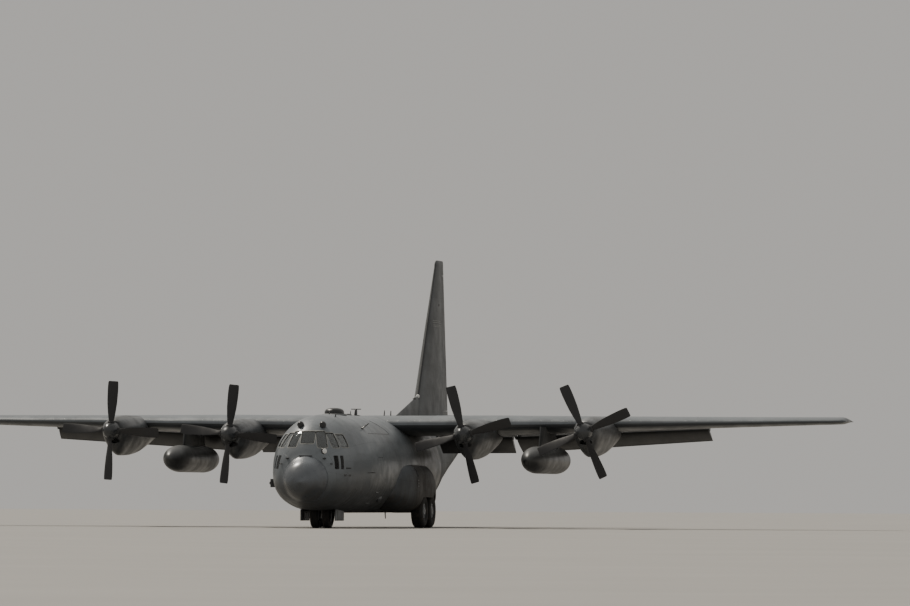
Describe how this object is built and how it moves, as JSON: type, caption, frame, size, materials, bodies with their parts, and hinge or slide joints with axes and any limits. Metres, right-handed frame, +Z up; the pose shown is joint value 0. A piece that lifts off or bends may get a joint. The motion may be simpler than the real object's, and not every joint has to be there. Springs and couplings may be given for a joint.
{
  "type": "military transport plane, 1:2 scale model",
  "caption": "High-wing military transport plane with turboprops, rear loading ramp, side gear fairings and wing tanks, parked on its landing gear.",
  "frame": {"origin": "on the ground under the middle of the aircraft's length and span", "axes": "+X to port, -Y towards the nose, +Z up"},
  "size_m": [20.205, 14.895, 5.83],
  "materials": {
    "fuselage_paint": "matte bluish grey paint, streaked with dirt",
    "aft_paint": "matte bluish grey paint on light alloy",
    "wing_paint": "matte bluish grey paint on light alloy",
    "tail_paint": "matte bluish grey paint on light alloy",
    "nacelle_paint": "matte grey paint with oil and soot stains",
    "tank_paint": "dark bluish grey paint",
    "radome_paint": "satin dark bluish grey",
    "glazing": "clear, dark inside",
    "interior": "matte grey cabin paint",
    "engine": "dull grey metal",
    "propeller": "satin dark grey paint",
    "tyre": "matt black rubber",
    "wheel_hub": "pale grey paint",
    "gear_steel": "pale grey painted steel"
  },
  "bodies": {
    "airframe": {"radome": "radome_paint", "nose_fuselage": "fuselage_paint", "flight_deck": "interior", "flight_deck_glazing": "glazing", "centre_fuselage": "fuselage_paint", "paratroop_door_port": "aft_paint", "paratroop_door_starboard": "aft_paint", "cargo_floor": "interior", "aft_fuselage": "aft_paint", "sponson_port": "fuselage_paint", "sponson_starboard": "fuselage_paint", "centre_wing": "wing_paint", "outer_wing_port": "wing_paint", "outer_wing_starboard": "wing_paint", "tailplane": "tail_paint", "fin": "tail_paint", "engine_1": "engine", "nacelle_1": "nacelle_paint", "engine_2": "engine", "nacelle_2": "nacelle_paint", "engine_3": "engine", "nacelle_3": "nacelle_paint", "engine_4": "engine", "nacelle_4": "nacelle_paint", "tank_port": "tank_paint", "tank_starboard": "tank_paint", "nose_gear_well": "interior", "nose_gear_strut": "gear_steel", "nose_gear_door_port": "fuselage_paint", "nose_gear_door_starboard": "fuselage_paint", "main_gear_legs_port": "gear_steel", "main_gear_legs_starboard": "gear_steel"},
    "propeller_1": {"propeller_1": "propeller"},
    "propeller_2": {"propeller_2": "propeller"},
    "propeller_3": {"propeller_3": "propeller"},
    "propeller_4": {"propeller_4": "propeller"},
    "main_wheel_front_port": {"main_tyre_front_port": "tyre", "main_hub_front_port": "wheel_hub"},
    "main_wheel_front_starboard": {"main_tyre_front_starboard": "tyre", "main_hub_front_starboard": "wheel_hub"},
    "main_wheel_rear_port": {"main_tyre_rear_port": "tyre", "main_hub_rear_port": "wheel_hub"},
    "main_wheel_rear_starboard": {"main_tyre_rear_starboard": "tyre", "main_hub_rear_starboard": "wheel_hub"},
    "nose_steering": {"nose_gear_fork": "gear_steel"},
    "nose_wheels": {"nose_wheel_port": "tyre", "nose_wheel_starboard": "tyre"},
    "crew_door": {"crew_door": "fuselage_paint"},
    "ramp": {"ramp": "aft_paint"},
    "cargo_door": {"cargo_door": "aft_paint"},
    "aileron_port": {"aileron_port": "wing_paint"},
    "aileron_starboard": {"aileron_starboard": "wing_paint"},
    "elevator_port": {"elevator_port": "tail_paint"},
    "elevator_starboard": {"elevator_starboard": "tail_paint"},
    "rudder": {"rudder": "tail_paint"},
    "flap_inner_port": {"flap_inner_port": "wing_paint"},
    "flap_inner_starboard": {"flap_inner_starboard": "wing_paint"},
    "flap_outer_port": {"flap_outer_port": "wing_paint"},
    "flap_outer_starboard": {"flap_outer_starboard": "wing_paint"}
  },
  "joints": [
    {"name": "propeller_1_spin", "type": "hinge", "parent": "airframe", "child": "propeller_1", "pos_m": [5, -3.1975, 1.995], "axis": [0, 1, 0], "continuous": true},
    {"name": "propeller_2_spin", "type": "hinge", "parent": "airframe", "child": "propeller_2", "pos_m": [2.475, -3.1975, 1.93], "axis": [0, 1, 0], "continuous": true},
    {"name": "propeller_3_spin", "type": "hinge", "parent": "airframe", "child": "propeller_3", "pos_m": [-2.475, -3.1975, 1.93], "axis": [0, 1, 0], "continuous": true},
    {"name": "propeller_4_spin", "type": "hinge", "parent": "airframe", "child": "propeller_4", "pos_m": [-5, -3.1975, 1.995], "axis": [0, 1, 0], "continuous": true},
    {"name": "main_wheel_front_port_spin", "type": "hinge", "parent": "airframe", "child": "main_wheel_front_port", "pos_m": [1.0875, -0.8975, 0.355], "axis": [1, 0, 0], "continuous": true},
    {"name": "main_wheel_front_starboard_spin", "type": "hinge", "parent": "airframe", "child": "main_wheel_front_starboard", "pos_m": [-1.0875, -0.8975, 0.355], "axis": [1, 0, 0], "continuous": true},
    {"name": "main_wheel_rear_port_spin", "type": "hinge", "parent": "airframe", "child": "main_wheel_rear_port", "pos_m": [1.0875, -0.0975, 0.355], "axis": [1, 0, 0], "continuous": true},
    {"name": "main_wheel_rear_starboard_spin", "type": "hinge", "parent": "airframe", "child": "main_wheel_rear_starboard", "pos_m": [-1.0875, -0.0975, 0.355], "axis": [1, 0, 0], "continuous": true},
    {"name": "nose_steer", "type": "hinge", "parent": "airframe", "child": "nose_steering", "pos_m": [0, -5.3975, 0.54], "axis": [0, 0, 1], "range_deg": [-60, 60]},
    {"name": "nose_wheels_spin", "type": "hinge", "parent": "nose_steering", "child": "nose_wheels", "pos_m": [0, -5.3975, 0.2475], "axis": [1, 0, 0], "continuous": true},
    {"name": "crew_door_swing", "type": "hinge", "parent": "airframe", "child": "crew_door", "pos_m": [0.78723, -4.655, 0.518], "axis": [0, 1, 0], "range_deg": [0, 95]},
    {"name": "ramp_tilt", "type": "hinge", "parent": "airframe", "child": "ramp", "pos_m": [0, 1.4095, 0.3275], "axis": [-1, 0, 0], "range_deg": [0, 28]},
    {"name": "cargo_door_lift", "type": "hinge", "parent": "airframe", "child": "cargo_door", "pos_m": [0, 5.66, 1.68], "axis": [-1, 0, 0], "range_deg": [0, 22]},
    {"name": "aileron_port_swing", "type": "hinge", "parent": "airframe", "child": "aileron_port", "pos_m": [8.455, 0.03785, 2.22906], "axis": [0.9962, -0.0847, 0.0223], "range_deg": [-20, 20]},
    {"name": "aileron_starboard_swing", "type": "hinge", "parent": "airframe", "child": "aileron_starboard", "pos_m": [-8.455, 0.03785, 2.22906], "axis": [0.9962, 0.0847, -0.0223], "range_deg": [-20, 20]},
    {"name": "elevator_port_swing", "type": "hinge", "parent": "airframe", "child": "elevator_port", "pos_m": [2.16, 6.21264, 2.33641], "axis": [1, -0.0038, 0.0076], "range_deg": [-15, 40]},
    {"name": "elevator_starboard_swing", "type": "hinge", "parent": "airframe", "child": "elevator_starboard", "pos_m": [-2.16, 6.21264, 2.33641], "axis": [1, 0.0038, -0.0076], "range_deg": [-15, 40]},
    {"name": "rudder_swing", "type": "hinge", "parent": "airframe", "child": "rudder", "pos_m": [0, 6.41345, 4.015], "axis": [0, -0.0231, 0.9997], "range_deg": [-35, 35]},
    {"name": "flap_inner_port_travel", "type": "hinge", "parent": "airframe", "child": "flap_inner_port", "pos_m": [1.9575, 0.43678, 1.71626], "axis": [1, 0, 0.0076], "range_deg": [0, 36]},
    {"name": "flap_inner_starboard_travel", "type": "hinge", "parent": "airframe", "child": "flap_inner_starboard", "pos_m": [-1.9575, 0.43678, 1.71626], "axis": [1, 0, -0.0076], "range_deg": [0, 36]},
    {"name": "flap_outer_port_travel", "type": "hinge", "parent": "airframe", "child": "flap_outer_port", "pos_m": [4.925, 0.26754, 1.83853], "axis": [0.9954, -0.0791, 0.0541], "range_deg": [0, 36]},
    {"name": "flap_outer_starboard_travel", "type": "hinge", "parent": "airframe", "child": "flap_outer_starboard", "pos_m": [-4.925, 0.26754, 1.83853], "axis": [0.9954, 0.0791, -0.0541], "range_deg": [0, 36]}
  ],
  "couplings": [
    {"joint": "aileron_starboard_swing", "follows": "aileron_port_swing", "ratio": -1},
    {"joint": "elevator_starboard_swing", "follows": "elevator_port_swing", "ratio": 1},
    {"joint": "flap_inner_starboard_travel", "follows": "flap_inner_port_travel", "ratio": 1},
    {"joint": "flap_outer_port_travel", "follows": "flap_inner_port_travel", "ratio": 1},
    {"joint": "flap_outer_starboard_travel", "follows": "flap_inner_port_travel", "ratio": 1}
  ]
}
